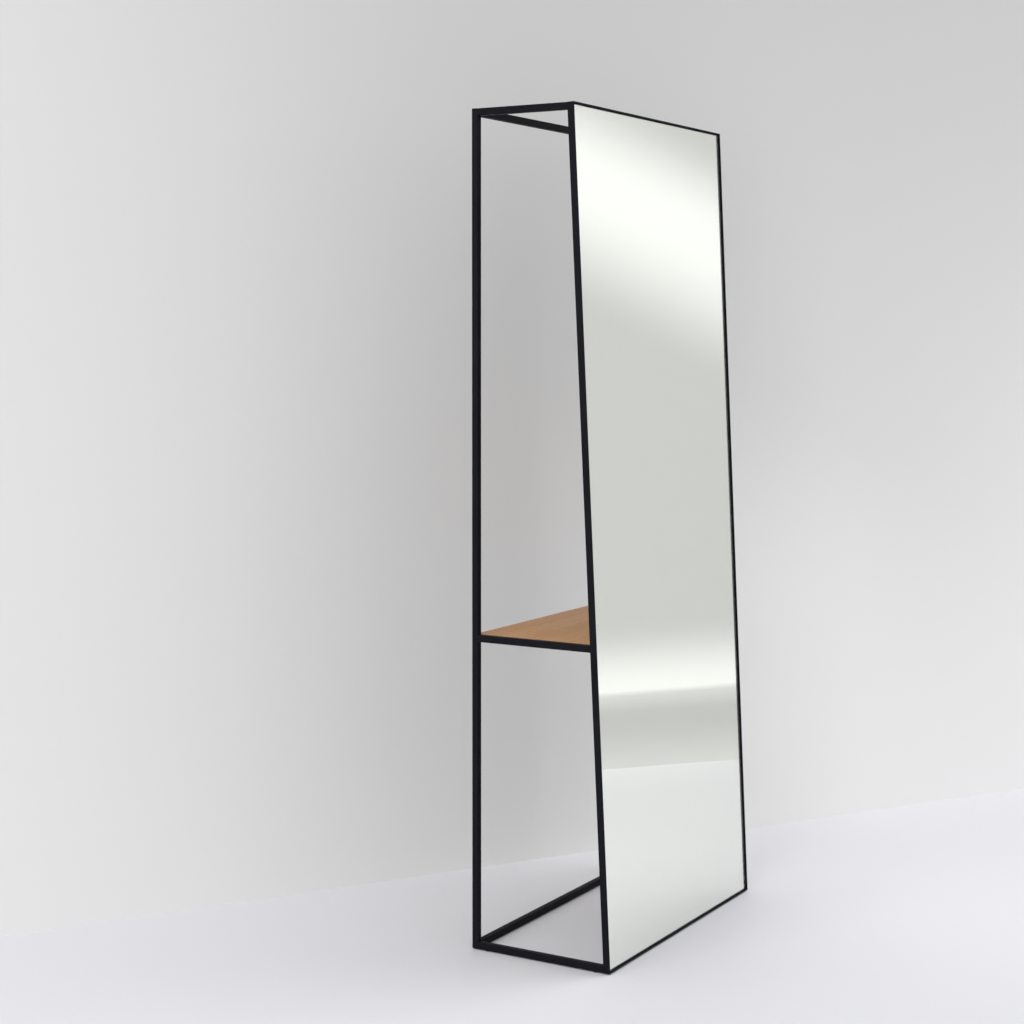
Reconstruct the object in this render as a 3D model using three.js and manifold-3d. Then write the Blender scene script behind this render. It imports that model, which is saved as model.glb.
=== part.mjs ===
// Leaning full-length mirror on an open steel stand, with one oak shelf behind the mirror.
// Millimetres, +Z up. The mirror faces -Y, and the origin is on the floor under the middle of the stand.
import * as THREE from "three";
import { mergeVertices } from "three/addons/utils/BufferGeometryUtils.js";
import Module from "manifold-3d";

// Overall sizes
const overallWidth = 710;
const overallHeight = 1800;
const floorDepth = 338; // front to back at the floor
const topDepth = 243; // front to back at the top, less because the mirror leans back
const shelfTopHeight = 690;

// Square steel tube of the rear frame and of the side rails
const tubeSize = 15;
const tubeWall = 1.5;
const tubeCornerRadius = 2;

// Steel angle of the mirror frame: one leg is the rim round the mirror, the other is the flange behind it
const angleSize = 15;
const angleThickness = 3;
const angleRootRadius = 1;
const angleToeRadius = 1.2;
const angleEdgeRadius = 0.4;

// Gaps left for the weld metal, where cut faces meet
const weldGap = 0.3;

// Mirror pane, the tape behind it and the board that carries both
const paneThickness = 4;
const paneEdgeGap = 1.2;
const tapeThickness = 1;
const tapeWidth = 24;
const tapeCount = 5;
const tapeEndMargin = 60;
const tapeSideMargin = 70;
const boardThickness = 3;
const layerGap = 0.3;

// Screws that hold the mirror's board to the flange, clear of the rails by a margin
const boardScrewsBelowShelf = 2;
const boardScrewsAboveShelf = 3;
const boardScrewsPerEnd = 2;
const boardScrewMargin = 90;
const boardScrewCover = 0.6; // hardboard left in front of a screw's point

// Shelf board, and the flat bars that carry it
const shelfThickness = 12;
const bearerThickness = 3;
const shelfSideGap = 0.5;
const shelfFrontGap = 2;
const shelfEdgeRadius = 1;
const bearerWidth = 25;
const bearerCount = 3;
const bearerRearInset = 12;
const bearerFrontInset = 20;
const shelfScrewsPerBearer = 2;
const shelfScrewInset = 90;
const shelfScrewCover = 4; // oak left above a screw's point

// One size of pan-head screw throughout
const screwDiameter = 3.5;
const screwHeadDiameter = 7;
const screwHeadHeight = 2;
const screwTip = 1.4;
const screwClearance = 0.3;

// Floor glides pressed into the underside of the bottom side rails
const glideHeight = 2;
const glideDiameter = 13;
const glideStemDiameter = 5.6;
const glideStemLength = 6;
const glideHoleClearance = 0.4;
const glideEdgeChamfer = 0.5;
const glideInset = 22;

const cornerSteps = 4;
const roundSteps = 16;

// Worked out from the sizes above
const lean = Math.atan2(floorDepth - topDepth, overallHeight);
const frameBottom = glideHeight;
const leanRise = angleSize * Math.sin(lean);
const railTop = overallHeight - leanRise;
const halfWidth = overallWidth / 2;
const rearFace = floorDepth / 2;
const frontFootY = -floorDepth / 2;
const leanLength = (railTop - frameBottom) / Math.cos(lean);
const mitreSetback = weldGap / Math.SQRT2;
const bearerBottom = shelfTopHeight - shelfThickness - bearerThickness;
const shelfRailTop = bearerBottom + tubeSize;
const boardScrewLength = angleThickness + 2 * layerGap + boardThickness - boardScrewCover;
const shelfScrewLength = bearerThickness + shelfThickness - shelfScrewCover;

const wasm = await Module();
wasm.setup();

// ---------- shape helpers ----------

// A closed outline through the given corners [x, y, radius], each rounded by its radius.
function outline(corners, Kind = THREE.Shape) {
  const path = new Kind();
  const count = corners.length;
  corners.forEach(([x, y, radius = 0], i) => {
    const corner = new THREE.Vector2(x, y);
    const before = new THREE.Vector2(...corners[(i + count - 1) % count].slice(0, 2));
    const after = new THREE.Vector2(...corners[(i + 1) % count].slice(0, 2));
    const enter = before.sub(corner).setLength(radius).add(corner);
    const leave = after.sub(corner).setLength(radius).add(corner);
    if (i === 0) path.moveTo(enter.x, enter.y);
    else path.lineTo(enter.x, enter.y);
    if (radius > 0) path.quadraticCurveTo(corner.x, corner.y, leave.x, leave.y);
  });
  path.closePath();
  return path;
}

function rectangle(x0, y0, x1, y1, radius = 0, Kind = THREE.Shape) {
  return outline([[x0, y0, radius], [x1, y0, radius], [x1, y1, radius], [x0, y1, radius]], Kind);
}

// A straight bar of a section in (a, b), whose ends lie at startAt(a, b) and endAt(a, b) along its length.
function bar(section, startAt, endAt) {
  const geometry = new THREE.ExtrudeGeometry(section, {
    depth: 1,
    bevelEnabled: false,
    curveSegments: cornerSteps,
  });
  const points = geometry.getAttribute("position");
  for (let i = 0; i < points.count; i++) {
    const a = points.getX(i);
    const b = points.getY(i);
    points.setZ(i, points.getZ(i) < 0.5 ? startAt(a, b) : endAt(a, b));
  }
  geometry.computeVertexNormals();
  return geometry;
}

// A flat plate: an outline in (x, y) raised to a thickness.
function plate(shape, thickness) {
  return new THREE.ExtrudeGeometry(shape, {
    depth: thickness,
    bevelEnabled: false,
    curveSegments: roundSteps / 2,
  });
}

function circlePath(x, y, radius) {
  return new THREE.Path().absarc(x, y, radius, 0, 2 * Math.PI, false);
}

function toSolid(geometry) {
  const bare = geometry.clone();
  bare.deleteAttribute("normal");
  bare.deleteAttribute("uv");
  const merged = mergeVertices(bare, 1e-4);
  const vertProperties = new Float32Array(merged.getAttribute("position").array);
  const triVerts = new Uint32Array(merged.getIndex().array);
  return new wasm.Manifold(new wasm.Mesh({ numProp: 3, vertProperties, triVerts }));
}

// The geometry less every tool geometry in the list.
function cut(geometry, tools) {
  let solid = toSolid(geometry);
  for (const tool of tools) solid = solid.subtract(toSolid(tool));
  const mesh = solid.getMesh();
  const result = new THREE.BufferGeometry();
  result.setAttribute("position", new THREE.BufferAttribute(mesh.vertProperties, 3));
  result.setIndex(new THREE.BufferAttribute(mesh.triVerts, 1));
  result.computeVertexNormals();
  return result;
}

// A round drill along Z, from the height z0 up to z1.
function drill(x, y, z0, z1, diameter) {
  const tool = new THREE.CylinderGeometry(diameter / 2, diameter / 2, z1 - z0, roundSteps);
  return tool.rotateX(Math.PI / 2).translate(x, y, (z0 + z1) / 2);
}

function addMesh(group, name, geometry, material) {
  const mesh = new THREE.Mesh(geometry, material);
  mesh.name = name;
  group.add(mesh);
  return mesh;
}

// Turns a mesh so that its own x, y and z run along the three given directions.
function aim(mesh, x, y, z) {
  mesh.quaternion.setFromRotationMatrix(new THREE.Matrix4().makeBasis(x, y, z));
  return mesh;
}

function spread(count, from, to) {
  if (count === 1) return [(from + to) / 2];
  return Array.from({ length: count }, (_, i) => from + ((to - from) * i) / (count - 1));
}

// ---------- materials ----------

function powderCoat() {
  return new THREE.MeshStandardMaterial({ color: 0x1b1c1f, roughness: 0.6, metalness: 0.1 });
}

function oak() {
  return new THREE.MeshStandardMaterial({ color: 0xb08a5c, roughness: 0.55, metalness: 0 });
}

function mirrorGlass() {
  return new THREE.MeshStandardMaterial({ color: 0xdfe4e2, roughness: 0.02, metalness: 1 });
}

function hardboard() {
  return new THREE.MeshStandardMaterial({ color: 0x3a332c, roughness: 0.85, metalness: 0 });
}

function foamTape() {
  return new THREE.MeshStandardMaterial({ color: 0xd8d8d4, roughness: 0.9, metalness: 0 });
}

function blackScrew() {
  return new THREE.MeshStandardMaterial({ color: 0x202020, roughness: 0.4, metalness: 0.8 });
}

function nylon() {
  return new THREE.MeshStandardMaterial({ color: 0x161616, roughness: 0.5, metalness: 0 });
}

// ---------- sections ----------

// Square tube, with a from 0 to tubeSize and b from 0 to tubeSize.
function tubeSection() {
  const section = rectangle(0, 0, tubeSize, tubeSize, tubeCornerRadius);
  const far = tubeSize - tubeWall;
  const innerRadius = Math.max(tubeCornerRadius - tubeWall, 0.2);
  section.holes.push(rectangle(tubeWall, tubeWall, far, far, innerRadius, THREE.Path));
  return section;
}

// Steel angle: a runs inwards from the outer side, b runs back from the front edge of the rim.
function angleSection() {
  const flangeFront = angleSize - angleThickness;
  return outline([
    [0, 0, angleEdgeRadius],
    [angleThickness, 0, angleEdgeRadius],
    [angleThickness, flangeFront, angleRootRadius],
    [angleSize, flangeFront, angleToeRadius],
    [angleSize, angleSize, angleEdgeRadius],
    [0, angleSize, angleEdgeRadius],
  ]);
}

// A pan-head screw with its head's underside at the origin and its point at -Z.
function screwGeometry(length) {
  const headRadius = screwHeadDiameter / 2;
  const radius = screwDiameter / 2;
  const profile = [
    [0, -length],
    [radius * 0.35, -length + screwTip * 0.3],
    [radius, -length + screwTip],
    [radius, 0],
    [headRadius, 0],
    [headRadius, screwHeadHeight * 0.35],
    [headRadius * 0.82, screwHeadHeight * 0.8],
    [headRadius * 0.45, screwHeadHeight],
    [0, screwHeadHeight],
  ];
  const lathe = new THREE.LatheGeometry(profile.map(([r, y]) => new THREE.Vector2(r, y)), roundSteps);
  return lathe.rotateX(Math.PI / 2);
}

const axisX = new THREE.Vector3(1, 0, 0);
const axisY = new THREE.Vector3(0, 1, 0);
const axisZ = new THREE.Vector3(0, 0, 1);
const minusX = axisX.clone().negate();
const minusZ = axisZ.clone().negate();

const angle = angleSection();
const tube = tubeSection();

// Holes for the mirror's board screws run through the middle of the flange.
const screwHoleRadius = screwDiameter / 2 + screwClearance;
const flangeHoleOffset = angleThickness + (angleSize - angleThickness) / 2;

function flangeDrill(distance) {
  const depth = angleThickness * 3;
  const tool = new THREE.CylinderGeometry(screwHoleRadius, screwHoleRadius, depth, roundSteps);
  return tool.translate(flangeHoleOffset, angleSize - angleThickness / 2, distance);
}

// Four mitred bars of one section round a rectangle in the XZ plane, with the section's b along +Y.
// Screw holes go through the two uprights at the drill heights and through the two rails at the
// drill places, which are measured from the middle and are the same on either side of it.
function mitredFrame(group, prefix, section, width, height, drillHeights = [], drillPlaces = []) {
  const fromTop = drillHeights.map((z) => height - z);
  const fromSide = drillPlaces.map((x) => width / 2 + x);
  const members = [
    ["left", axisX, axisZ, height, [-width / 2, 0, 0], drillHeights],
    ["right", minusX, minusZ, height, [width / 2, 0, height], fromTop],
    ["bottom", axisZ, minusX, width, [width / 2, 0, 0], fromSide],
    ["top", minusZ, axisX, width, [-width / 2, 0, height], fromSide],
  ];
  for (const [place, inwards, along, length, corner, distances] of members) {
    const straight = bar(section, (a) => a + mitreSetback, (a) => length - a - mitreSetback);
    const geometry = distances.length ? cut(straight, distances.map(flangeDrill)) : straight;
    const mesh = addMesh(group, `${prefix}_${place}`, geometry, powderCoat());
    aim(mesh, inwards, axisY, along);
    mesh.position.set(...corner);
  }
}

const stand = new THREE.Group();

// ---------- rear frame: four mitred square tubes, upright ----------

const rearFrame = new THREE.Group();
rearFrame.position.set(0, rearFace - tubeSize, frameBottom);
stand.add(rearFrame);
mitredFrame(rearFrame, "rear_frame", tube, overallWidth, railTop - frameBottom);

// ---------- mirror frame: four mitred steel angles, leaning back ----------

const mirrorFrame = new THREE.Group();
mirrorFrame.position.set(0, frontFootY, frameBottom + leanRise);
mirrorFrame.rotation.x = -lean;
stand.add(mirrorFrame);

// Distance along the lean at which the mirror frame reaches a height above the floor.
function alongLean(z) {
  return (z - frameBottom) / Math.cos(lean);
}

const sideScrewHeights = [
  ...spread(
    boardScrewsBelowShelf,
    boardScrewMargin,
    alongLean(bearerBottom) - boardScrewMargin,
  ),
  ...spread(
    boardScrewsAboveShelf,
    alongLean(shelfRailTop) + boardScrewMargin,
    leanLength - boardScrewMargin,
  ),
];
const endScrewReach = halfWidth - boardScrewMargin * 2;
const endScrewPlaces = spread(boardScrewsPerEnd, -endScrewReach, endScrewReach);
mitredFrame(
  mirrorFrame,
  "mirror_frame",
  angle,
  overallWidth,
  leanLength,
  sideScrewHeights,
  endScrewPlaces,
);

// Places of the board screws in the mirror frame's own plane, [name, x, z]
const boardScrews = [
  ...sideScrewHeights.map((z, i) => [`left_${i + 1}`, -halfWidth + flangeHoleOffset, z]),
  ...sideScrewHeights.map((z, i) => [`right_${i + 1}`, halfWidth - flangeHoleOffset, z]),
  ...endScrewPlaces.map((x, i) => [`bottom_${i + 1}`, x, flangeHoleOffset]),
  ...endScrewPlaces.map((x, i) => [`top_${i + 1}`, x, leanLength - flangeHoleOffset]),
];

// ---------- mirror pane, tape and board, stacked in front of the flange ----------

const paneMargin = angleThickness + paneEdgeGap;
const paneHalfWidth = halfWidth - paneMargin;
const boardBack = angleSize - angleThickness - layerGap;
const tapeBack = boardBack - boardThickness - layerGap;
const paneBack = tapeBack - tapeThickness - layerGap;

// A plate that stands in the mirror frame's plane, with its rear face at the depth backY.
function standingPlate(shape, thickness, backY) {
  return plate(shape, thickness).rotateX(Math.PI / 2).translate(0, backY, 0);
}

function paneOutline() {
  return rectangle(-paneHalfWidth, paneMargin, paneHalfWidth, leanLength - paneMargin);
}

const boardShape = paneOutline();
for (const [, x, z] of boardScrews) boardShape.holes.push(circlePath(x, z, screwHoleRadius));
addMesh(
  mirrorFrame,
  "mirror_board",
  standingPlate(boardShape, boardThickness, boardBack),
  hardboard(),
);

const tapeReach = halfWidth - tapeSideMargin;
spread(tapeCount, -tapeReach, tapeReach).forEach((x, i) => {
  const strip = rectangle(
    x - tapeWidth / 2,
    tapeEndMargin,
    x + tapeWidth / 2,
    leanLength - tapeEndMargin,
  );
  const geometry = standingPlate(strip, tapeThickness, tapeBack);
  addMesh(mirrorFrame, `mirror_tape_${i + 1}`, geometry, foamTape());
});

addMesh(
  mirrorFrame,
  "mirror_pane",
  standingPlate(paneOutline(), paneThickness, paneBack),
  mirrorGlass(),
);

for (const [place, x, z] of boardScrews) {
  const geometry = screwGeometry(boardScrewLength).rotateX(-Math.PI / 2);
  const screw = addMesh(mirrorFrame, `board_screw_${place}`, geometry, blackScrew());
  screw.position.set(x, angleSize + layerGap, z);
}

// ---------- side rails: square tubes from the rear frame to the leaning mirror frame ----------

// Where the back of the mirror frame stands, at a height above the floor.
function mirrorFrameBackY(z, gap = 0) {
  const rise = z - frameBottom - leanRise;
  return frontFootY + (angleSize + gap + rise * Math.sin(lean)) / Math.cos(lean);
}

const railRearY = rearFace - tubeSize;

function sideRail(name, side, topZ, glidePlaces = []) {
  const bottomZ = topZ - tubeSize;
  const reach = (a, b) => railRearY - mirrorFrameBackY(bottomZ + b, weldGap);
  const straight = bar(tube, () => 0, reach);
  const holes = glidePlaces.map((y) => glideDrill(railRearY - y));
  const geometry = holes.length ? cut(straight, holes) : straight;
  const mesh = addMesh(stand, `${name}_${side}`, geometry, powderCoat());
  aim(mesh, axisX, axisZ, axisY.clone().negate());
  mesh.position.set(side === "left" ? -halfWidth : halfWidth - tubeSize, railRearY, bottomZ);
}

// The glide's hole through the lower wall of a side rail, in the rail's own frame.
function glideDrill(distance) {
  const radius = (glideStemDiameter + glideHoleClearance) / 2;
  const tool = new THREE.CylinderGeometry(radius, radius, tubeWall * 3, roundSteps);
  return tool.translate(tubeSize / 2, tubeWall / 2, distance);
}

const glidePlaces = [
  ["rear", railRearY - glideInset],
  ["front", mirrorFrameBackY(frameBottom) + glideInset],
];
const sides = ["left", "right"];
for (const side of sides) {
  sideRail("top_side_rail", side, railTop);
  sideRail("shelf_rail", side, shelfRailTop);
  sideRail("bottom_side_rail", side, frameBottom + tubeSize, glidePlaces.map(([, y]) => y));
}

// ---------- shelf: oak board on flat bars welded between the shelf rails ----------

const bearerHalfLength = halfWidth - tubeSize;
const shelfFrontY = mirrorFrameBackY(shelfTopHeight) + shelfFrontGap;
const bearerPlaces = spread(
  bearerCount,
  rearFace - bearerRearInset - bearerWidth / 2,
  shelfFrontY + bearerFrontInset + bearerWidth / 2,
);
const shelfScrewReach = halfWidth - tubeSize - shelfScrewInset;
const shelfScrewPlaces = spread(shelfScrewsPerBearer, -shelfScrewReach, shelfScrewReach);

bearerPlaces.forEach((y, i) => {
  const half = bearerWidth / 2;
  const shape = rectangle(-bearerHalfLength, -half, bearerHalfLength, half);
  for (const x of shelfScrewPlaces) shape.holes.push(circlePath(x, 0, screwHoleRadius));
  const bearer = addMesh(
    stand,
    `shelf_bearer_${i + 1}`,
    plate(shape, bearerThickness),
    powderCoat(),
  );
  bearer.position.set(0, y, bearerBottom);
});

const shelfHalfWidth = halfWidth - tubeSize - shelfSideGap;
const shelfShape = rectangle(-shelfHalfWidth, shelfFrontY, shelfHalfWidth, rearFace);
const shelfBlank = new THREE.ExtrudeGeometry(shelfShape, {
  depth: shelfThickness - 2 * shelfEdgeRadius,
  bevelThickness: shelfEdgeRadius,
  bevelSize: shelfEdgeRadius,
  bevelOffset: -shelfEdgeRadius,
  bevelSegments: 2,
}).translate(0, 0, shelfEdgeRadius);
const pilotDepth = shelfScrewLength - bearerThickness + screwClearance;
const pilotHoles = bearerPlaces.flatMap((y) =>
  shelfScrewPlaces.map((x) => drill(x, y, -1, pilotDepth, screwHoleRadius * 2)),
);
const shelf = addMesh(stand, "shelf_board", cut(shelfBlank, pilotHoles), oak());
shelf.position.z = shelfTopHeight - shelfThickness;

bearerPlaces.forEach((y, row) => {
  shelfScrewPlaces.forEach((x, column) => {
    const geometry = screwGeometry(shelfScrewLength).rotateX(Math.PI);
    const name = `shelf_screw_${row + 1}_${sides[column] ?? column}`;
    addMesh(stand, name, geometry, blackScrew()).position.set(x, y, bearerBottom);
  });
});

// ---------- floor glides ----------

function glideGeometry() {
  const radius = glideDiameter / 2;
  const stemRadius = glideStemDiameter / 2;
  const stemTop = glideHeight + glideStemLength;
  const profile = [
    [0, 0],
    [radius - glideEdgeChamfer, 0],
    [radius, glideEdgeChamfer],
    [radius, glideHeight],
    [stemRadius, glideHeight],
    [stemRadius, stemTop - glideEdgeChamfer],
    [stemRadius - glideEdgeChamfer, stemTop],
    [0, stemTop],
  ];
  const lathe = new THREE.LatheGeometry(profile.map(([r, y]) => new THREE.Vector2(r, y)), roundSteps);
  return lathe.rotateX(Math.PI / 2);
}

for (const side of sides) {
  const x = (side === "left" ? -1 : 1) * (halfWidth - tubeSize / 2);
  for (const [place, y] of glidePlaces) {
    addMesh(stand, `floor_glide_${place}_${side}`, glideGeometry(), nylon()).position.set(x, y, 0);
  }
}

export default stand;
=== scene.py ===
# A full-length mirror that leans back in an open steel stand, with one oak shelf behind the mirror.
# The script follows the stand as it is put together: frames, rails and welds, shelf, mirror, feet, room.
import bmesh
import bpy
import math
from mathutils import Matrix, Vector


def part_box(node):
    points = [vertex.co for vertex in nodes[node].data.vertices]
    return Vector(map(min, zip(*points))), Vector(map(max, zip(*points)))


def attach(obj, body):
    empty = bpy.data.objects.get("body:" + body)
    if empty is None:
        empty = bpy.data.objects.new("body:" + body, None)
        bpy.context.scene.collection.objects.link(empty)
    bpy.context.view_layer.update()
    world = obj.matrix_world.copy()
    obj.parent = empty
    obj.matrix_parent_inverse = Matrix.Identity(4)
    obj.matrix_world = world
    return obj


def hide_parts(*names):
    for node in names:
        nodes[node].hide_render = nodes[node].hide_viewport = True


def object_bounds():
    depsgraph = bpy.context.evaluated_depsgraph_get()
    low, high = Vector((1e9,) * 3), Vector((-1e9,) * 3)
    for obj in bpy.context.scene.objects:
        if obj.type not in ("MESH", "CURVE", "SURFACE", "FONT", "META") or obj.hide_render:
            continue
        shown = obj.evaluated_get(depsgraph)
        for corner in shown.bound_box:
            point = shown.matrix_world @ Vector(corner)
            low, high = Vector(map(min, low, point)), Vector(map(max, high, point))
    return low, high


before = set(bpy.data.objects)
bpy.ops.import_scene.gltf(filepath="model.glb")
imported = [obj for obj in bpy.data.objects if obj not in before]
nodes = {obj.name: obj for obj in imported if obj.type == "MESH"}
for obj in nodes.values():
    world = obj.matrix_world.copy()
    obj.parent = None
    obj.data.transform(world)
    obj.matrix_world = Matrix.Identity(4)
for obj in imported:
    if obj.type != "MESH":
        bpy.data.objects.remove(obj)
cad_low, cad_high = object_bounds()
MM = 0.001

# ---- Camera -------------------------------------------------------------------------------------
# Eye height of a standing adult, four metres off to the left of the mirror, looking slightly down.
camera_place = Vector((-3.7490, -1.9487, 1.3190))
camera_heading = math.radians(59.264)  # from +Y towards +X
camera_tilt = math.radians(-5.218)
camera_roll = math.radians(0.074)
sensor_width = 36.0
focal_length = 66.35

camera_data = bpy.data.cameras.new("camera")
camera_data.sensor_width = sensor_width
camera_data.lens = focal_length
camera = bpy.data.objects.new("camera", camera_data)
bpy.context.scene.collection.objects.link(camera)
camera.matrix_world = (
    Matrix.Translation(camera_place)
    @ Matrix.Rotation(-camera_heading, 4, "Z")
    @ Matrix.Rotation(math.pi / 2 + camera_tilt, 4, "X")
    @ Matrix.Rotation(camera_roll, 4, "Z")
)
bpy.context.scene.camera = camera
bpy.context.scene.view_settings.view_transform = "Standard"

# ---- Rear frame ---------------------------------------------------------------------------------
# Four lengths of square steel tube, mitred, welded into an upright rectangle and ground flush.
# The whole stand is then powder coated black, in a fine satin texture that hides the grinding.
tube_radius = 2.0 * MM
ground_edge = 0.5 * MM
coat_colour = (0.0104, 0.0106, 0.0136, 1)
coat_dusty = (0.0128, 0.0130, 0.0160, 1)
coat_roughness = 0.48
coat_shine = 0.04
smooth_below = math.radians(32)


def link(tree, start, end):
    tree.links.new(start, end)


def add_node(tree, kind, **values):
    """A new shader node; a value sets the input socket of that name, or else the node's own property."""
    node = tree.nodes.new(kind)
    for name, value in values.items():
        label = name.replace("_", " ")
        if label in node.inputs:
            node.inputs[label].default_value = value
        else:
            setattr(node, name, value)
    return node


def new_group(name, inputs, outputs):
    """A shader node group with the named inputs, as (name, kind, default), and outputs, as (name, kind)."""
    group = bpy.data.node_groups.new(name, "ShaderNodeTree")
    for label, kind, default in inputs:
        socket = group.interface.new_socket(label, in_out="INPUT", socket_type=kind)
        socket.default_value = default
    for label, kind in outputs:
        group.interface.new_socket(label, in_out="OUTPUT", socket_type=kind)
    return group, group.nodes.new("NodeGroupInput"), group.nodes.new("NodeGroupOutput")


def grain_of_coat():
    """Orange peel and settled dust of a sprayed or moulded surface, as a height and a soft mask."""
    group, start, end = new_group(
        "surface grain",
        [("Vector", "NodeSocketVector", (0, 0, 0)), ("Scale", "NodeSocketFloat", 1.0)],
        [("Height", "NodeSocketFloat"), ("Patches", "NodeSocketFloat")],
    )
    scaled = add_node(group, "ShaderNodeVectorMath", operation="SCALE")
    peel = add_node(group, "ShaderNodeTexNoise", Scale=900.0, Detail=2.0, Roughness=0.55)
    speck = add_node(group, "ShaderNodeTexVoronoi", Scale=1900.0)
    patches = add_node(group, "ShaderNodeTexNoise", Scale=9.0, Detail=4.0, Roughness=0.6)
    both = add_node(group, "ShaderNodeMath", operation="MULTIPLY_ADD")
    both.inputs[1].default_value = -0.35
    link(group, start.outputs["Vector"], scaled.inputs[0])
    link(group, start.outputs["Scale"], scaled.inputs["Scale"])
    for texture in (peel, speck, patches):
        link(group, scaled.outputs[0], texture.inputs["Vector"])
    link(group, speck.outputs["Distance"], both.inputs[0])
    link(group, peel.outputs["Fac"], both.inputs[2])
    link(group, both.outputs[0], end.inputs["Height"])
    link(group, patches.outputs["Fac"], end.inputs["Patches"])
    return group


surface_grain = grain_of_coat()


def place_group(tree, group, **values):
    node = tree.nodes.new("ShaderNodeGroup")
    node.node_tree = group
    for name, value in values.items():
        node.inputs[name.replace("_", " ")].default_value = value
    return node


def new_material(name):
    """A material with its Principled shader and an Object coordinate socket."""
    material = bpy.data.materials.new(name)
    material.use_nodes = True
    tree = material.node_tree
    shader = tree.nodes["Principled BSDF"]
    place = tree.nodes.new("ShaderNodeTexCoord").outputs["Object"]
    return material, tree, shader, place


def add_bump(tree, shader, height, strength, distance):
    bump = add_node(tree, "ShaderNodeBump", Strength=strength, Distance=distance)
    link(tree, height, bump.inputs["Height"])
    link(tree, bump.outputs["Normal"], shader.inputs["Normal"])


def map_range(tree, value, low, high, to_low, to_high, smooth=False):
    node = add_node(tree, "ShaderNodeMapRange")
    node.interpolation_type = "SMOOTHSTEP" if smooth else "LINEAR"
    for label, number in (
        ("From Min", low), ("From Max", high), ("To Min", to_low), ("To Max", to_high),
    ):
        node.inputs[label].default_value = number
    link(tree, value, node.inputs["Value"])
    return node.outputs["Result"]


def mix_colours(tree, factor, first, second):
    """A colour that goes from first to second; either may be a colour or a socket."""
    node = add_node(tree, "ShaderNodeMix", data_type="RGBA")
    link(tree, factor, node.inputs["Factor"])
    for label, colour in (("A", first), ("B", second)):
        socket = [s for s in node.inputs if s.name == label and s.type == "RGBA"][0]
        if isinstance(colour, bpy.types.NodeSocket):
            link(tree, colour, socket)
        else:
            socket.default_value = colour
    return [s for s in node.outputs if s.type == "RGBA"][0]


def grained_material(name, colour, dusty, roughness, rough_spread, scale, bump, metallic=0.0, shine=0.5):
    """Paint, plating or moulded nylon: one colour with faint patches, and a fine grain."""
    material, tree, shader, place = new_material(name)
    grain = place_group(tree, surface_grain, Scale=scale)
    link(tree, place, grain.inputs["Vector"])
    patches = grain.outputs["Patches"]
    tint = map_range(tree, patches, 0.35, 0.75, 0.0, 1.0, smooth=True)
    link(tree, mix_colours(tree, tint, colour, dusty), shader.inputs["Base Color"])
    rough = map_range(tree, patches, 0.3, 0.7, roughness - rough_spread, roughness + rough_spread)
    link(tree, rough, shader.inputs["Roughness"])
    shader.inputs["Metallic"].default_value = metallic
    shader.inputs["Specular IOR Level"].default_value = shine
    add_bump(tree, shader, grain.outputs["Height"], bump, 0.05 * MM)
    return material


powder_coat = grained_material(
    "powder coat",
    coat_colour,
    coat_dusty,
    roughness=coat_roughness,
    rough_spread=0.04,
    scale=1.0,
    bump=0.35,
    shine=coat_shine,
)


def finish_piece(name, mesh, material, slot, *replaced):
    """Puts a bmesh in the scene as one piece of the stand, smooth but for its sharp edges."""
    data = bpy.data.meshes.new(name)
    mesh.to_mesh(data)
    mesh.free()
    data.materials.append(material)
    data.polygons.foreach_set("use_smooth", [True] * len(data.polygons))
    data.set_sharp_from_angle(angle=smooth_below)
    piece = bpy.data.objects.new(name, data)
    bpy.context.scene.collection.objects.link(piece)
    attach(piece, "root")
    if replaced:
        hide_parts(*replaced)
    return piece


def block(low, high):
    """A bmesh of one box between two corners."""
    mesh = bmesh.new()
    middle, size = (low + high) / 2, high - low
    bmesh.ops.create_cube(mesh, size=1, matrix=Matrix.LocRotScale(middle, None, size))
    return mesh


def faces_towards(mesh, direction):
    mesh.normal_update()
    return [f for f in mesh.faces if f.normal.dot(direction) > 0.99]


def edges_where(mesh, test):
    """The edges whose middle point and direction pass the test."""
    found = []
    for edge in mesh.edges:
        a, b = (v.co for v in edge.verts)
        if test((a + b) / 2, (b - a).normalized()):
            found.append(edge)
    return found


def round_edges(mesh, edges, radius, segments):
    bmesh.ops.bevel(
        mesh,
        geom=edges,
        offset=radius,
        offset_type="OFFSET",
        segments=segments,
        profile=0.5,
        affect="EDGES",
        clamp_overlap=True,
        material=-1,
    )


def inset(mesh, faces, thickness, depth=0.0):
    """Draws the rims of the faces in by an even thickness, and pushes the faces out by a depth."""
    bmesh.ops.inset_individual(
        mesh, faces=faces, thickness=thickness, depth=depth, use_even_offset=True
    )


def open_window(mesh, front_faces, back_faces):
    """Cuts the two inset faces away and joins their rims, which turns a slab into a frame."""
    rims = [e for f in front_faces + back_faces for e in f.edges]
    bmesh.ops.delete(mesh, geom=front_faces + back_faces, context="FACES_ONLY")
    bmesh.ops.bridge_loops(mesh, edges=rims)


def ease_mitres(mesh, radius):
    """Takes the knife edge off the outer corners, where the mitres come together."""
    mesh.normal_update()
    keen = [
        e for e in mesh.edges
        if e.is_manifold and e.is_convex and e.calc_face_angle() > math.radians(40)
        and not is_lengthwise((e.verts[1].co - e.verts[0].co).normalized())
    ]
    round_edges(mesh, keen, radius, 2)


def is_lengthwise(direction):
    """Along the width or the height of a frame, and so along one of its bars."""
    return max(abs(direction.x), abs(direction.z)) > 0.999


backwards = Vector((0, 1, 0))
frame_nodes = [f"rear_frame_{side}" for side in ("left", "right", "bottom", "top")]
upright_low, upright_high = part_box("rear_frame_left")
tube_size = upright_high.x - upright_low.x
frame_low = Vector((cad_low.x, upright_low.y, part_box("rear_frame_bottom")[0].z))
frame_high = Vector((cad_high.x, upright_high.y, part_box("rear_frame_top")[1].z))

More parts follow.
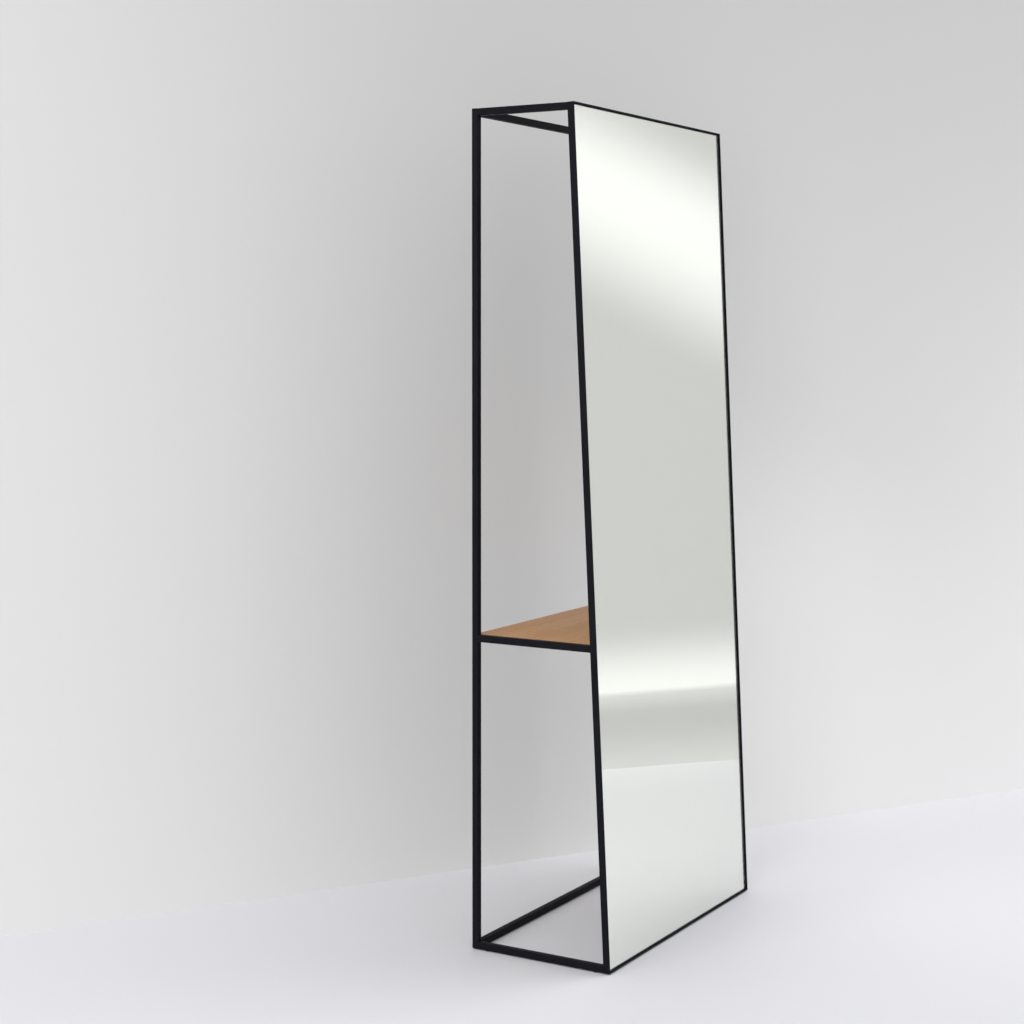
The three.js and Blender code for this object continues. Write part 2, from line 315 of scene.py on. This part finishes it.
rear_frame = block(frame_low, frame_high)
front_face = faces_towards(rear_frame, -backwards)
back_face = faces_towards(rear_frame, backwards)
inset(rear_frame, front_face + back_face, tube_size)
open_window(rear_frame, front_face, back_face)
bmesh.ops.recalc_face_normals(rear_frame, faces=rear_frame.faces)
round_edges(rear_frame, edges_where(rear_frame, lambda p, d: is_lengthwise(d)), tube_radius, 5)
ease_mitres(rear_frame, ground_edge)
finish_piece("rear_frame", rear_frame, powder_coat, "powder_coat", *frame_nodes)

# ---- Mirror frame -------------------------------------------------------------------------------
# Four lengths of steel angle, mitred and welded into a tray for the mirror, which leans back.
# One leg is the rim that shows round the glass, and the other is the flange behind it.
angle_thickness = 3.0 * MM
rim_edge = 0.4 * MM
root_radius = 0.8 * MM
toe_radius = 1.0 * MM

low_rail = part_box("bottom_side_rail_left")[0]
high_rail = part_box("top_side_rail_left")[0]
lean = math.atan2(high_rail.y - low_rail.y, high_rail.z - low_rail.z)
angle_size = tube_size
lean_length = (frame_high.z - frame_low.z) / math.cos(lean)
lean_place = Matrix.Translation(
    (0, cad_low.y, frame_low.z + angle_size * math.sin(lean))
) @ Matrix.Rotation(-lean, 4, "X")
half_width = frame_high.x

mirror_frame = block(Vector((-half_width, 0, 0)), Vector((half_width, angle_size, lean_length)))
front_face = faces_towards(mirror_frame, -backwards)
back_face = faces_towards(mirror_frame, backwards)
tray_depth = angle_size - angle_thickness
inset(mirror_frame, front_face, angle_thickness)
inset(mirror_frame, front_face, 0.0, depth=-tray_depth)
inset(mirror_frame, front_face, tray_depth)
inset(mirror_frame, back_face, angle_size)
open_window(mirror_frame, front_face, back_face)
bmesh.ops.remove_doubles(mirror_frame, verts=mirror_frame.verts, dist=0.001 * MM)
bmesh.ops.recalc_face_normals(mirror_frame, faces=mirror_frame.faces)


def near(value, target):
    return abs(value - target) < 0.1 * MM


def inset_of(point):
    """How far a point of the mirror frame lies inside the frame's outer edge."""
    return min(half_width - abs(point.x), point.z, lean_length - point.z)


root = edges_where(
    mirror_frame,
    lambda p, d: is_lengthwise(d) and near(p.y, tray_depth) and near(inset_of(p), angle_thickness),
)
round_edges(mirror_frame, root, root_radius, 3)
toe = edges_where(
    mirror_frame,
    lambda p, d: is_lengthwise(d) and near(p.y, tray_depth) and near(inset_of(p), angle_size),
)
round_edges(mirror_frame, toe, toe_radius, 3)
rim = edges_where(
    mirror_frame,
    lambda p, d: is_lengthwise(d) and (near(p.y, 0) or near(p.y, angle_size)),
)
round_edges(mirror_frame, rim, rim_edge, 3)
ease_mitres(mirror_frame, ground_edge)
mirror_frame.transform(lean_place)
finish_piece(
    "mirror_frame",
    mirror_frame,
    powder_coat,
    "powder_coat",
    *[f"mirror_frame_{side}" for side in ("left", "right", "bottom", "top")],
)

# ---- Side rails and their welds -----------------------------------------------------------------
# Six lengths of the same tube join the two frames: at the top, at the shelf and at the floor.
# Their front ends are sawn to the lean. Each end is welded, and only the flush sides are ground.
weld_gap = 0.3 * MM
weld_radius = 1.7 * MM
weld_pitch = 1.5 * MM
weld_inset = 1.0 * MM
weld_ripple = 0.13
weld_end_share = 0.45  # how thick a bead already is where it starts and stops
points_per_ripple = 4
weld_sides = 20

lean_normal = lean_place.to_3x3() @ backwards
mirror_frame_back = lean_place @ Vector((0, angle_size, 0))


def frame_back_at(height):
    """The Y at which the back of the mirror frame stands, at a height above the floor."""
    rise = (height - mirror_frame_back.z) * lean_normal.z
    return mirror_frame_back.y - rise / lean_normal.y


def side_rail(node):
    low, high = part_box(node)
    start = Vector((low.x, low.y - tube_size, low.z))
    mesh = block(start, Vector((high.x, high.y + weld_gap, high.z)))
    along = edges_where(mesh, lambda p, d: abs(d.y) > 0.999)
    round_edges(mesh, along, tube_radius, 5)
    everything = mesh.verts[:] + mesh.edges[:] + mesh.faces[:]
    cut = bmesh.ops.bisect_plane(
        mesh, geom=everything, plane_co=mirror_frame_back, plane_no=-lean_normal, clear_outer=True
    )
    rim = [e for e in cut["geom_cut"] if isinstance(e, bmesh.types.BMEdge)]
    bmesh.ops.holes_fill(mesh, edges=rim)
    bmesh.ops.recalc_face_normals(mesh, faces=mesh.faces)
    return finish_piece(f"{node}_tube", mesh, powder_coat, "powder_coat", node)


def weld_bead(name, start, end):
    """A bead along X in an inside corner: a rippled line, spun into a rod that lies in the corner."""
    length = (end - start).length
    steps = round(length / weld_pitch) * points_per_ripple
    mesh = bmesh.new()
    line = [mesh.verts.new(start)]
    for i in range(steps + 1):
        share = i / steps
        ripple = 1 - weld_ripple * abs(math.sin(math.pi * i / points_per_ripple))
        taper = min(1.0, 4 * share + weld_end_share, 4 * (1 - share) + weld_end_share)
        at = start.lerp(end, share)
        line.append(mesh.verts.new(at + Vector((0, 0, weld_radius * ripple * taper))))
    line.append(mesh.verts.new(end))
    edges = [mesh.edges.new(pair) for pair in zip(line, line[1:])]
    bmesh.ops.spin(
        mesh,
        geom=line + edges,
        cent=start,
        axis=(1, 0, 0),
        angle=2 * math.pi,
        steps=weld_sides,
        use_merge=True,
    )
    bmesh.ops.remove_doubles(mesh, verts=mesh.verts, dist=0.001 * MM)
    bmesh.ops.recalc_face_normals(mesh, faces=mesh.faces)
    return finish_piece(name, mesh, powder_coat, "powder_coat")


for level, corners in (("top", ("under",)), ("shelf", ("over", "under")), ("bottom", ("over",))):
    for side in ("left", "right"):
        node = f"{level}_side_rail_{side}" if level != "shelf" else f"shelf_rail_{side}"
        side_rail(node)
        low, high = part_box(node)
        from_x, to_x = low.x + weld_inset, high.x - weld_inset
        for corner in corners:
            height = low.z if corner == "under" else high.z
            for end, depth in (("rear", high.y), ("front", frame_back_at(height))):
                weld_bead(
                    f"weld_{level}_{corner}_{end}_{side}",
                    Vector((from_x, depth, height)),
                    Vector((to_x, depth, height)),
                )

# ---- Shelf --------------------------------------------------------------------------------------
# An oak board glued up from staves, planed, its edges broken, oiled and lacquered matt.
# It lies on three flat bars welded between the shelf rails, and screws come up through the bars.
stave_width = 57.0 * MM
shelf_edge = 1.0 * MM
oak_light = (0.615, 0.325, 0.130, 1)
oak_dark = (0.475, 0.225, 0.078, 1)
oak_pore = (0.20, 0.095, 0.036, 1)


def grain_of_oak():
    """Growth rings, pores and stave joints of a glued oak board with its grain along X."""
    group, start, end = new_group(
        "oak grain",
        [("Vector", "NodeSocketVector", (0, 0, 0)), ("Stave Width", "NodeSocketFloat", stave_width)],
        [
            ("Rings", "NodeSocketFloat"),
            ("Pores", "NodeSocketFloat"),
            ("Tone", "NodeSocketFloat"),
            ("Joints", "NodeSocketFloat"),
        ],
    )
    split = add_node(group, "ShaderNodeSeparateXYZ")
    link(group, start.outputs["Vector"], split.inputs[0])
    stave = add_node(group, "ShaderNodeMath", operation="DIVIDE")
    link(group, split.outputs["Y"], stave.inputs[0])
    link(group, start.outputs["Stave Width"], stave.inputs[1])
    number = add_node(group, "ShaderNodeMath", operation="FLOOR")
    link(group, stave.outputs[0], number.inputs[0])
    tone = add_node(group, "ShaderNodeTexWhiteNoise", noise_dimensions="1D")
    link(group, number.outputs[0], tone.inputs["W"])

    # each stave comes from another part of the log, so its pattern starts somewhere else
    shift = add_node(group, "ShaderNodeVectorMath", operation="SCALE", Scale=7.0)
    link(group, tone.outputs["Color"], shift.inputs[0])
    moved = add_node(group, "ShaderNodeVectorMath", operation="ADD")
    link(group, start.outputs["Vector"], moved.inputs[0])
    link(group, shift.outputs[0], moved.inputs[1])

    stretched = add_node(group, "ShaderNodeMapping")
    stretched.inputs["Scale"].default_value = (0.75, 9.0, 9.0)
    link(group, moved.outputs[0], stretched.inputs["Vector"])
    rings = add_node(
        group, "ShaderNodeTexWave", Scale=2.6, Distortion=11.0, Detail=3.0, Detail_Scale=1.3,
        bands_direction="Y", wave_profile="SAW",
    )
    link(group, stretched.outputs[0], rings.inputs["Vector"])

    fine = add_node(group, "ShaderNodeMapping")
    fine.inputs["Scale"].default_value = (70.0, 1700.0, 1700.0)
    link(group, moved.outputs[0], fine.inputs["Vector"])
    pores = add_node(group, "ShaderNodeTexNoise", Scale=1.0, Detail=2.0, Roughness=0.6)
    link(group, fine.outputs[0], pores.inputs["Vector"])
    dark_pores = map_range(group, pores.outputs["Fac"], 0.56, 0.68, 0.0, 1.0)
    in_rings = add_node(group, "ShaderNodeMath", operation="MULTIPLY")
    link(group, dark_pores, in_rings.inputs[0])
    link(group, map_range(group, rings.outputs["Fac"], 0.0, 1.0, 0.25, 1.0), in_rings.inputs[1])

    part = add_node(group, "ShaderNodeMath", operation="FRACT")
    link(group, stave.outputs[0], part.inputs[0])
    from_edge = add_node(group, "ShaderNodeMath", operation="PINGPONG")
    from_edge.inputs[1].default_value = 0.5
    link(group, part.outputs[0], from_edge.inputs[0])
    joint = map_range(group, from_edge.outputs[0], 0.0, 0.004, 1.0, 0.0)

    link(group, rings.outputs["Fac"], end.inputs["Rings"])
    link(group, in_rings.outputs[0], end.inputs["Pores"])
    link(group, tone.outputs["Value"], end.inputs["Tone"])
    link(group, joint, end.inputs["Joints"])
    return group


def lacquered_oak():
    material, tree, shader, place = new_material("lacquered oak")
    grain = place_group(tree, grain_of_oak())
    link(tree, place, grain.inputs["Vector"])
    tone = map_range(tree, grain.outputs["Tone"], 0.0, 1.0, 0.0, 0.5)
    ring = map_range(tree, grain.outputs["Rings"], 0.15, 1.0, 0.0, 0.55, smooth=True)
    darker = add_node(tree, "ShaderNodeMath", operation="ADD")
    link(tree, tone, darker.inputs[0])
    link(tree, ring, darker.inputs[1])
    wood = mix_colours(tree, darker.outputs[0], oak_light, oak_dark)
    pores = map_range(tree, grain.outputs["Pores"], 0.0, 1.0, 0.0, 0.65)
    wood = mix_colours(tree, pores, wood, oak_pore)
    joints = map_range(tree, grain.outputs["Joints"], 0.0, 1.0, 0.0, 0.5)
    wood = mix_colours(tree, joints, wood, oak_pore)
    link(tree, wood, shader.inputs["Base Color"])
    rough = map_range(tree, grain.outputs["Pores"], 0.0, 1.0, 0.48, 0.7)
    link(tree, rough, shader.inputs["Roughness"])
    sunk = map_range(tree, grain.outputs["Pores"], 0.0, 1.0, 1.0, 0.0)
    add_bump(tree, shader, sunk, 0.5, 0.06 * MM)
    return material


board_low, board_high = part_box("shelf_board")
shelf = block(board_low, board_high)
round_edges(shelf, shelf.edges[:], shelf_edge, 3)
finish_piece("shelf_board_oak", shelf, lacquered_oak(), "oak", "shelf_board")

for bar in range(1, 4):
    nodes[f"shelf_bearer_{bar}"].data.materials[0] = powder_coat

# ---- Screws -------------------------------------------------------------------------------------
# Pan-head screws, plated black, with a six-lobed recess. One length holds the mirror's board to the
# flange from behind, and a longer one holds the shelf to its bars from below.
screw_sides = 48
screw_turn = 1.1  # radians from one screw's recess to the next one's
head_height = 2.0 * MM
board_shank_length = 5.7 * MM
point_length = 1.4 * MM
head_chamfer = 0.15 * MM
recess_radius = 1.75 * MM
recess_depth = 1.2 * MM
recess_chamfer = 0.12 * MM
lobe_share = 0.17

screw_plating = grained_material(
    "black screw plating",
    (0.055, 0.055, 0.058, 1),
    (0.075, 0.074, 0.072, 1),
    roughness=0.34,
    rough_spread=0.06,
    scale=1.6,
    bump=0.12,
    metallic=0.85,
)


def ring(mesh, radius, height, lobes=0.0):
    """A closed loop of edges round Z, lobed where the recess needs it."""
    made = bmesh.ops.create_circle(mesh, segments=screw_sides, radius=radius)
    for vert in made["verts"]:
        turn = math.atan2(vert.co.y, vert.co.x)
        scale = 1 + lobes * math.cos(6 * turn)
        vert.co = Vector((vert.co.x * scale, vert.co.y * scale, height))
    return list({e for v in made["verts"] for e in v.link_edges})


def screw_mesh(head_radius, shank_radius, shank_length):
    """Head's underside at the origin, head towards +Z."""
    mesh = bmesh.new()
    profile = (
        (shank_radius * 0.35, -shank_length, 0),
        (shank_radius, -shank_length + point_length, 0),
        (shank_radius, 0, 0),
        (head_radius - head_chamfer, 0, 0),
        (head_radius, head_chamfer, 0),
        (head_radius, head_height * 0.34, 0),
        (head_radius * 0.955, head_height * 0.56, 0),
        (head_radius * 0.85, head_height * 0.78, 0),
        (head_radius * 0.70, head_height * 0.92, 0),
        (recess_radius * 1.08, head_height, lobe_share * 0.9),
        (recess_radius, head_height - recess_chamfer, lobe_share),
        (recess_radius * 0.94, head_height - recess_depth, lobe_share),
    )
    loops = [ring(mesh, *level) for level in profile]
    for lower, upper in zip(loops, loops[1:]):
        bmesh.ops.bridge_loops(mesh, edges=lower + upper)
    bmesh.ops.holes_fill(mesh, edges=loops[0] + loops[-1])
    bmesh.ops.recalc_face_normals(mesh, faces=mesh.faces)
    return mesh


screw_nodes = sorted(n for n in nodes if "_screw_" in n)
for number, node in enumerate(screw_nodes):
    low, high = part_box(node)
    middle = (low + high) / 2
    head_radius = (high.x - low.x) / 2
    shank_radius = head_radius / 2
    turned = Matrix.Rotation(number * screw_turn, 4, "Z")
    if node.startswith("board_screw"):
        in_frame = lean_place.inverted() @ middle
        seat = lean_place @ Vector((in_frame.x, angle_size, in_frame.z))
        place = Matrix.Translation(seat) @ Matrix.Rotation(-lean - math.pi / 2, 4, "X")
        mesh = screw_mesh(head_radius, shank_radius, board_shank_length)
    else:
        place = Matrix.Translation((middle.x, middle.y, low.z + head_height))
        place = place @ Matrix.Rotation(math.pi, 4, "X")
        mesh = screw_mesh(head_radius, shank_radius, high.z - low.z - head_height)
    mesh.transform(place @ turned)
    finish_piece(f"{node}_recessed", mesh, screw_plating, "black_screw", node)

# ---- Mirror -------------------------------------------------------------------------------------
# A pane of 4 mm float glass with ground edges, silvered on the back. Strips of white
# foam tape bond it to a black-faced hardboard, which is screwed to the flange from behind.
pane_edge = 0.6 * MM
pane_thickness = 4.0 * MM
pane_front = 3.1 * MM
silver_thickness = 0.12 * MM
silver_gap = 0.04 * MM
silver_margin = 1.4 * MM
glass_ior = 1.52


def clear_glass():
    material, _, shader, _ = new_material("float glass")
    shader.inputs["Base Color"].default_value = (0.985, 0.99, 0.975, 1)
    shader.inputs["Roughness"].default_value = 0.0
    shader.inputs["IOR"].default_value = glass_ior
    shader.inputs["Transmission Weight"].default_value = 1.0
    return material


def ground_glass():
    material, tree, shader, place = new_material("ground glass edge")
    grain = place_group(tree, surface_grain, Scale=0.6)
    link(tree, place, grain.inputs["Vector"])
    colour = mix_colours(
        tree, grain.outputs["Patches"], (0.060, 0.074, 0.068, 1), (0.085, 0.102, 0.092, 1)
    )
    link(tree, colour, shader.inputs["Base Color"])
    shader.inputs["Roughness"].default_value = 0.32
    shader.inputs["IOR"].default_value = glass_ior
    add_bump(tree, shader, grain.outputs["Height"], 0.2, 0.05 * MM)
    return material


def silver_backing():
    """Silver as the glass shows it, neutral with a trace of green."""
    material, tree, shader, place = new_material("mirror silver")
    cloud = add_node(tree, "ShaderNodeTexNoise", Scale=2.0, Detail=2.0)
    link(tree, place, cloud.inputs["Vector"])
    silver = mix_colours(
        tree, cloud.outputs["Fac"], (0.960, 0.970, 0.940, 1), (0.968, 0.976, 0.948, 1)
    )
    link(tree, silver, shader.inputs["Base Color"])
    shader.inputs["Metallic"].default_value = 1.0
    shader.inputs["Roughness"].default_value = 0.0
    return material


pane_half_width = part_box("mirror_pane")[1].x
pane_margin = half_width - pane_half_width
pane = block(
    Vector((-pane_half_width, pane_front, pane_margin)),
    Vector((pane_half_width, pane_front + pane_thickness, lean_length - pane_margin)),
)
round_edges(pane, pane.edges[:], pane_edge, 1)
pane.normal_update()
for face in pane.faces:
    face.material_index = 0 if abs(face.normal.y) > 0.99 else 1
pane.transform(lean_place)
glass = finish_piece("mirror_glass", pane, clear_glass(), "mirror", "mirror_pane")
glass.data.materials.append(ground_glass())
glass.data.polygons.foreach_set("use_smooth", [False] * len(glass.data.polygons))

silver_front = pane_front + pane_thickness + silver_gap
silver = block(
    Vector((-pane_half_width + silver_margin, silver_front, pane_margin + silver_margin)),
    Vector((
        pane_half_width - silver_margin,
        silver_front + silver_thickness,
        lean_length - pane_margin - silver_margin,
    )),
)
silver.transform(lean_place)
finish_piece("mirror_silvering", silver, silver_backing(), "mirror")


def black_hardboard():
    material, tree, shader, place = new_material("black hardboard")
    grain = place_group(tree, surface_grain, Scale=0.35)
    link(tree, place, grain.inputs["Vector"])
    fibres = add_node(tree, "ShaderNodeTexNoise", Scale=750.0, Detail=5.0, Roughness=0.75)
    link(tree, place, fibres.inputs["Vector"])
    shade = map_range(tree, fibres.outputs["Fac"], 0.35, 0.7, 0.0, 1.0)
    colour = mix_colours(tree, shade, (0.020, 0.0195, 0.019, 1), (0.031, 0.030, 0.0285, 1))
    link(tree, colour, shader.inputs["Base Color"])
    rough = map_range(tree, grain.outputs["Patches"], 0.3, 0.7, 0.62, 0.74)
    link(tree, rough, shader.inputs["Roughness"])
    add_bump(tree, shader, fibres.outputs["Fac"], 0.45, 0.12 * MM)
    return material


nodes["mirror_board"].data.materials[0] = black_hardboard()
foam_tape = grained_material(
    "foam tape",
    (0.70, 0.70, 0.67, 1),
    (0.62, 0.62, 0.59, 1),
    roughness=0.85,
    rough_spread=0.05,
    scale=0.5,
    bump=0.6,
)
for strip in range(1, 6):
    nodes[f"mirror_tape_{strip}"].data.materials[0] = foam_tape

# ---- Floor glides -------------------------------------------------------------------------------
# Four black nylon buttons pressed into the underside of the bottom rails, so that the steel stays
# off the floor.
glide_nylon = grained_material(
    "black nylon",
    (0.022, 0.022, 0.022, 1),
    (0.034, 0.033, 0.032, 1),
    roughness=0.5,
    rough_spread=0.06,
    scale=0.8,
    bump=0.3,
)
for end in ("rear", "front"):
    for side in ("left", "right"):
        nodes[f"floor_glide_{end}_{side}"].data.materials[0] = glide_nylon

# ---- Room ---------------------------------------------------------------------------------------
# A pale studio: a matt floor, a pale wall close behind the stand, with painted shade darkening it towards
# the ceiling, and wide soft lights.
# Opposite the mirror hangs a glowing sheet, curved out over the floor, that is no lamp and shows only in
# reflections: its glow is a painted reflection, with painted light and shade in it, and it is what the
# glass shows.
floor_size = 40.0
floor_colour = (0.84, 0.84, 0.875, 1)
wall_low_tone = (0.90, 0.90, 0.895, 1)
# the top tone is painted shade: the wall is made darker towards the ceiling to stand in for less light
# falling there
wall_painted_shade_tone = (0.560, 0.560, 0.555, 1)
wall_point = Vector((0.19, 0.49, 0))
wall_heading = math.radians(121.4)  # the way the wall runs, from +Y towards +X
wall_to_left = 14.0
wall_to_right = 1.85
wall_height = 9.0
glow_heading = math.radians(117.0)
glow_distance = 4.07
glow_width = 6.0
glow_height = 4.6
glow_foot = 1.9
glow_level = 0.67
# the bright patch is a painted highlight, standing in for a soft light seen in the mirror
glow_slant = 0.635  # how much the bright patch falls for each metre to the right
world_strength = 0.63


def stage_sheet(name, corners, material):
    """A sheet of the room through a row of (left, right) corner pairs, which isn't part of the stand."""
    mesh = bmesh.new()
    rows = [[mesh.verts.new(corner) for corner in pair] for pair in corners]
    for lower, upper in zip(rows, rows[1:]):
        mesh.faces.new((lower[0], lower[1], upper[1], upper[0]))
    data = bpy.data.meshes.new(name)
    mesh.to_mesh(data)
    mesh.free()
    data.materials.append(material)
    sheet = bpy.data.objects.new(name, data)
    bpy.context.scene.collection.objects.link(sheet)
    return sheet


def floor_paint():
    material, tree, shader, place = new_material("floor paint")
    cloud = add_node(tree, "ShaderNodeTexNoise", Scale=0.8, Detail=3.0)
    link(tree, place, cloud.inputs["Vector"])
    darker = tuple(c * 0.97 for c in floor_colour[:3]) + (1,)
    colour = mix_colours(tree, cloud.outputs["Fac"], floor_colour, darker)
    link(tree, colour, shader.inputs["Base Color"])
    shader.inputs["Roughness"].default_value = 0.55
    return material


def weighted(tree, place, weights):
    node = add_node(tree, "ShaderNodeVectorMath", operation="DOT_PRODUCT")
    link(tree, place, node.inputs[0])
    node.inputs[1].default_value = weights
    return node.outputs["Value"]


def wall_paint_and_shade():
    """Pale paint with painted shade that darkens it towards the ceiling; seen from behind, the wall isn't
    there.
    """
    material, tree, shader, place = new_material("wall paint and painted shade")
    # painted shade: the colour goes from the low tone at the floor to the darker top tone 3 m up
    painted_shade_up = map_range(tree, weighted(tree, place, (0, 0, 1)), 0.0, 3.0, 0.0, 1.0)
    tone = mix_colours(tree, painted_shade_up, wall_low_tone, wall_painted_shade_tone)
    link(tree, tone, shader.inputs["Base Color"])
    shader.inputs["Roughness"].default_value = 0.9
    clear = add_node(tree, "ShaderNodeBsdfTransparent")
    side = add_node(tree, "ShaderNodeNewGeometry")
    choose = add_node(tree, "ShaderNodeMixShader")
    link(tree, side.outputs["Backfacing"], choose.inputs["Fac"])
    link(tree, shader.outputs[0], choose.inputs[1])
    link(tree, clear.outputs[0], choose.inputs[2])
    link(tree, choose.outputs[0], tree.nodes["Material Output"].inputs["Surface"])
    return material


half_floor = floor_size / 2
stage_sheet(
    "floor",
    [
        (Vector((-half_floor, -half_floor, 0)), Vector((half_floor, -half_floor, 0))),
        (Vector((-half_floor, half_floor, 0)), Vector((half_floor, half_floor, 0))),
    ],
    floor_paint(),
)
wall_run = Vector((math.sin(wall_heading), math.cos(wall_heading), 0))
wall_left = wall_point - wall_run * wall_to_left
wall_right = wall_point + wall_run * wall_to_right
rise = Vector((0, 0, wall_height))
stage_sheet("wall", [(wall_left, wall_right), (wall_left + rise, wall_right + rise)], wall_paint_and_shade())


def sum_of(tree, level, *values):
    """A level with values that change over the surface added to it."""
    total = None
    for value in values:
        node = add_node(tree, "ShaderNodeMath", operation="ADD")
        if total is None:
            node.inputs[0].default_value = level
        else:
            link(tree, total, node.inputs[0])
        link(tree, value, node.inputs[1])
        total = node.outputs[0]
    return total


def painted_reflection_glow():
    """Painted reflection of the room: an even grey glow, a painted bright strip where it meets the floor,
    painted shade at the foot and in the crease, a painted pool of light over the floor, and a slanted
    painted highlight patch above eye height.
    """
    material = bpy.data.materials.new("painted reflection glow")
    material.use_nodes = True
    tree = material.node_tree
    tree.nodes.remove(tree.nodes["Principled BSDF"])
    place = tree.nodes.new("ShaderNodeTexCoord").outputs["Object"]
    slanted = weighted(tree, place, Vector((0, 0, 1)) - glow_right * glow_slant)
    height = weighted(tree, place, Vector((0, 0, 1)))
    along_floor = weighted(tree, place, glow_away)
    # painted light and shade in the reflection: a slanted highlight patch, a bright strip along the floor,
    # shade at the foot and in the crease, and a pool of light over the floor
    painted_highlight_patch = map_range(tree, slanted, 1.42, 2.0, 0.0, 0.42, smooth=True)
    painted_highlight_end = map_range(tree, slanted, 2.10, 2.53, 0.0, -0.42, smooth=True)
    strip = map_range(tree, height, 0.0, 0.30, 0.39, 0.0, smooth=True)
    foot_painted_shade = map_range(tree, along_floor, glow_distance - 0.65, glow_distance, -0.22, 0.0)
    crease_painted_shade = map_range(tree, along_floor, glow_distance - 0.16, glow_distance, -0.22, 0.0)
    lit_floor = map_range(
        tree, along_floor, glow_distance - 2.3, glow_distance - 0.9, 0.18, 0.0, smooth=True
    )
    total = sum_of(tree, glow_level, painted_highlight_patch, painted_highlight_end, strip, foot_painted_shade, crease_painted_shade, lit_floor)
    emission = add_node(tree, "ShaderNodeEmission")
    link(tree, total, emission.inputs["Strength"])
    link(tree, emission.outputs[0], tree.nodes["Material Output"].inputs["Surface"])
    return material


glow_away = Vector((math.sin(glow_heading), math.cos(glow_heading), 0))
glow_right = Vector((math.cos(glow_heading), -math.sin(glow_heading), 0))
glow_base = glow_away * glow_distance
glow_side = glow_right * glow_width / 2
glow_toe = glow_base - glow_away * glow_foot + Vector((0, 0, 0.001))
glow_top = glow_base + Vector((0, 0, glow_height))
# a glowing sheet that is no lamp: hidden from the camera and from diffuse and shadow rays, it shows only in
# reflections
reflection_sheet = stage_sheet(
    "reflection_sheet",
    [
        (glow_toe - glow_side, glow_toe + glow_side),
        (glow_base - glow_side, glow_base + glow_side),
        (glow_top - glow_side, glow_top + glow_side),
    ],
    painted_reflection_glow(),
)
reflection_sheet.visible_camera = False
reflection_sheet.visible_diffuse = False
reflection_sheet.visible_shadow = False

world = bpy.data.worlds.new("studio")
bpy.context.scene.world = world
world.use_nodes = True
world.node_tree.nodes["Background"].inputs["Color"].default_value = (1, 1, 1, 1)
world.node_tree.nodes["Background"].inputs["Strength"].default_value = world_strength


def soft_light(name, place, target, width, height, power):
    data = bpy.data.lights.new(name, "AREA")
    data.shape = "RECTANGLE"
    data.size = width
    data.size_y = height
    data.energy = power
    light = bpy.data.objects.new(name, data)
    bpy.context.scene.collection.objects.link(light)
    aim = (target - place).to_track_quat("-Z", "Y")
    light.matrix_world = Matrix.Translation(place) @ aim.to_matrix().to_4x4()
    light.visible_camera = False
    light.visible_glossy = False
    light.visible_transmission = False
    return light


soft_light("high right", Vector((1.3, -1.5, 4.0)), Vector((0.9, -0.8, 0.0)), 2.0, 2.0, 24.5)
soft_light("low right", Vector((2.6, -1.9, 1.0)), Vector((1.6, -0.4, 0.2)), 1.2, 1.2, 10.5)
soft_light("left", Vector((-3.2, -0.6, 1.6)), Vector((-0.3, 0.4, 0.4)), 1.6, 1.6, 20.0)
soft_light("back left", Vector((-2.4, 0.3, 3.2)), Vector((-0.2, 0.1, 0.3)), 1.6, 1.6, 26.0)
soft_light("before the mirror", Vector((0.4, -0.75, 0.9)), Vector((0.2, -0.3, 0.0)), 0.7, 0.7, 1.6)
